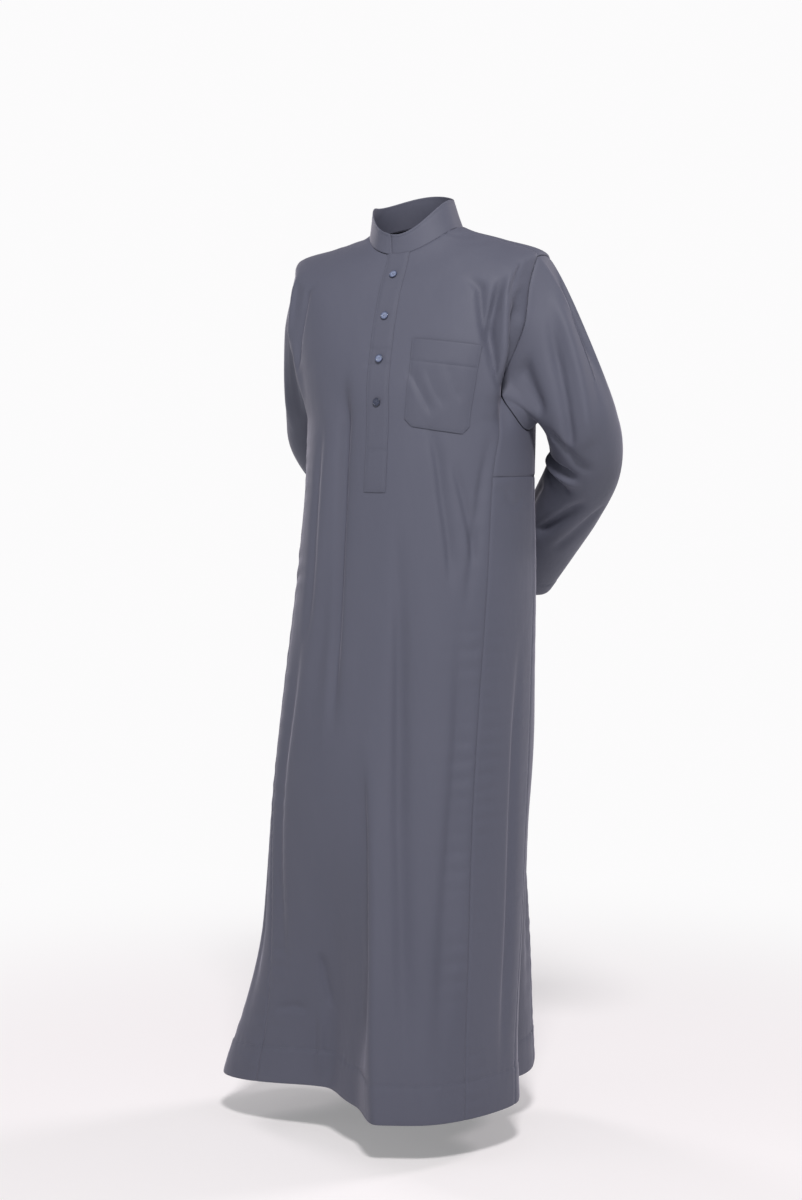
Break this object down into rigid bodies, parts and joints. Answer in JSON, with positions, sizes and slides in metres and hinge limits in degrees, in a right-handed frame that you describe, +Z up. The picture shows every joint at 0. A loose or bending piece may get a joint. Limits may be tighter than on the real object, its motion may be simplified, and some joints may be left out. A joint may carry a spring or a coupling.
{
  "type": "thobe robe",
  "caption": "Ankle-length, long-sleeved thobe with a stand collar, buttoned placket and chest pocket, holding the shape it has when worn with the arms held behind the back.",
  "frame": {"origin": "the middle of the neck opening, at the height of the shoulders, where the garment hangs from its wearer", "axes": "+Z up, the garment's front towards -Y, its own left towards +X"},
  "size_m": [0.7002, 0.4945, 1.495],
  "materials": {
    "cloth": "smooth slate blue-grey suiting with a faint satin sheen",
    "patch_cloth": "the same suiting, on the placket and the patch pocket",
    "pearl_button": "pearly blue-white with a dark blue rim",
    "smoke_button": "dark smoky blue"
  },
  "bodies": {
    "root": {"front": "cloth", "back": "cloth", "yoke": "cloth", "front_gore_left": "cloth", "front_gore_right": "cloth", "back_gore_left": "cloth", "back_gore_right": "cloth", "underarm_left": "cloth", "underarm_right": "cloth", "sleeve_left": "cloth", "sleeve_right": "cloth", "collar": "cloth", "placket": "patch_cloth", "chest_pocket": "patch_cloth", "button_1": "pearl_button", "button_2": "pearl_button", "button_3": "pearl_button", "button_4": "smoke_button"}
  },
  "joints": []
}
